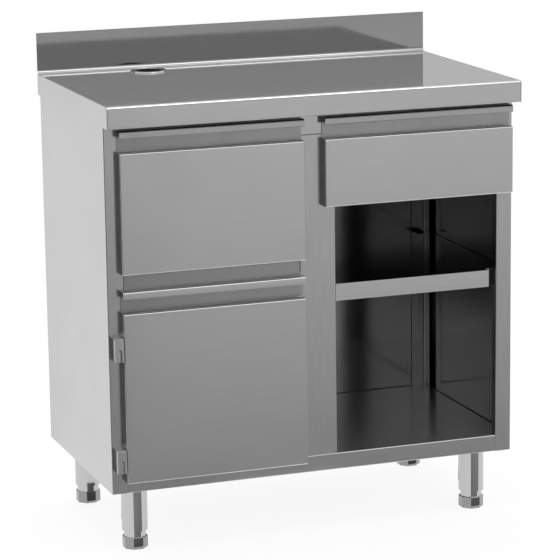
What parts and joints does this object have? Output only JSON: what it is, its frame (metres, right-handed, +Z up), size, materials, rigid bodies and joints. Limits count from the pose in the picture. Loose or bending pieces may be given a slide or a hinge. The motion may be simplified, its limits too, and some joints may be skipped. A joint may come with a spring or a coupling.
{
  "type": "waiter service station",
  "caption": "Stainless steel service counter on tube legs: worktop with upstand and cable grommet over a deep drawer, a shallow drawer, a hinged cupboard and an open niche with a shelf.",
  "frame": {"origin": "on the floor under the middle of the worktop", "axes": "+X to the right, -Y to the front, +Z up"},
  "size_m": [1, 0.589, 1.148],
  "materials": {
    "satin_steel": "fine satin brushed",
    "polished_steel": "bright satin",
    "zinc_plated_steel": "zinc plated",
    "black_plastic": "fine moulded texture",
    "core_board": "raw chipboard"
  },
  "bodies": {
    "carcass": {"back_panel": "satin_steel", "base_panel": "satin_steel", "cable_grommet": "polished_steel", "centre_divider": "satin_steel", "deep_drawer_runner_left": "zinc_plated_steel", "deep_drawer_runner_right": "zinc_plated_steel", "door_catch": "black_plastic", "hinge_block_lower": "satin_steel", "hinge_block_upper": "satin_steel", "hinge_pin_lower": "zinc_plated_steel", "hinge_pin_upper": "zinc_plated_steel", "leg_front_left": "polished_steel", "leg_front_right": "polished_steel", "leg_rail_left": "zinc_plated_steel", "leg_rail_right": "zinc_plated_steel", "leg_rear_left": "polished_steel", "leg_rear_right": "polished_steel", "mid_rail": "satin_steel", "niche_shelf": "satin_steel", "rear_upright_left": "satin_steel", "rear_upright_right": "satin_steel", "shallow_drawer_runner_left": "zinc_plated_steel", "shallow_drawer_runner_right": "zinc_plated_steel", "side_panel_left": "satin_steel", "side_panel_right": "satin_steel", "top_rail": "satin_steel", "worktop_core": "core_board", "worktop_edge_left": "polished_steel", "worktop_edge_rear": "polished_steel", "worktop_edge_right": "polished_steel", "worktop_skin": "polished_steel"},
    "deep_drawer": {"deep_drawer_back": "satin_steel", "deep_drawer_bottom": "satin_steel", "deep_drawer_front": "satin_steel", "deep_drawer_liner": "satin_steel", "deep_drawer_pull": "satin_steel", "deep_drawer_side_left": "satin_steel", "deep_drawer_side_right": "satin_steel"},
    "deep_drawer_slides": {"deep_drawer_slide_left": "zinc_plated_steel", "deep_drawer_slide_right": "zinc_plated_steel"},
    "shallow_drawer": {"shallow_drawer_back": "satin_steel", "shallow_drawer_bottom": "satin_steel", "shallow_drawer_front": "satin_steel", "shallow_drawer_liner": "satin_steel", "shallow_drawer_pull": "satin_steel", "shallow_drawer_side_left": "satin_steel", "shallow_drawer_side_right": "satin_steel"},
    "shallow_drawer_slides": {"shallow_drawer_slide_left": "zinc_plated_steel", "shallow_drawer_slide_right": "zinc_plated_steel"},
    "door": {"door_front": "satin_steel", "door_liner": "satin_steel", "door_pull": "satin_steel", "hinge_leaf_lower": "satin_steel", "hinge_leaf_upper": "satin_steel"},
    "foot_front_left": {"foot_front_left": "polished_steel"},
    "foot_front_right": {"foot_front_right": "polished_steel"},
    "foot_rear_left": {"foot_rear_left": "polished_steel"},
    "foot_rear_right": {"foot_rear_right": "polished_steel"}
  },
  "joints": [
    {"name": "deep_drawer_pull_out", "type": "slide", "parent": "carcass", "child": "deep_drawer", "axis": [0, -1, 0], "range_m": [0, 0.42]},
    {"name": "deep_drawer_slides_follow", "type": "slide", "parent": "carcass", "child": "deep_drawer_slides", "axis": [0, -1, 0], "range_m": [0, 0.21]},
    {"name": "shallow_drawer_pull_out", "type": "slide", "parent": "carcass", "child": "shallow_drawer", "axis": [0, -1, 0], "range_m": [0, 0.42]},
    {"name": "shallow_drawer_slides_follow", "type": "slide", "parent": "carcass", "child": "shallow_drawer_slides", "axis": [0, -1, 0], "range_m": [0, 0.21]},
    {"name": "door_swing", "type": "hinge", "parent": "carcass", "child": "door", "pos_m": [-0.4721, -0.2716, 0.38], "axis": [0, 0, -1], "range_deg": [0, 110]},
    {"name": "foot_front_left_level", "type": "slide", "parent": "carcass", "child": "foot_front_left", "axis": [0, 0, -1], "range_m": [0, 0.02]},
    {"name": "foot_front_right_level", "type": "slide", "parent": "carcass", "child": "foot_front_right", "axis": [0, 0, -1], "range_m": [0, 0.02]},
    {"name": "foot_rear_left_level", "type": "slide", "parent": "carcass", "child": "foot_rear_left", "axis": [0, 0, -1], "range_m": [0, 0.02]},
    {"name": "foot_rear_right_level", "type": "slide", "parent": "carcass", "child": "foot_rear_right", "axis": [0, 0, -1], "range_m": [0, 0.02]}
  ],
  "couplings": [
    {"joint": "deep_drawer_slides_follow", "follows": "deep_drawer_pull_out", "ratio": 0.5},
    {"joint": "shallow_drawer_slides_follow", "follows": "shallow_drawer_pull_out", "ratio": 0.5}
  ]
}
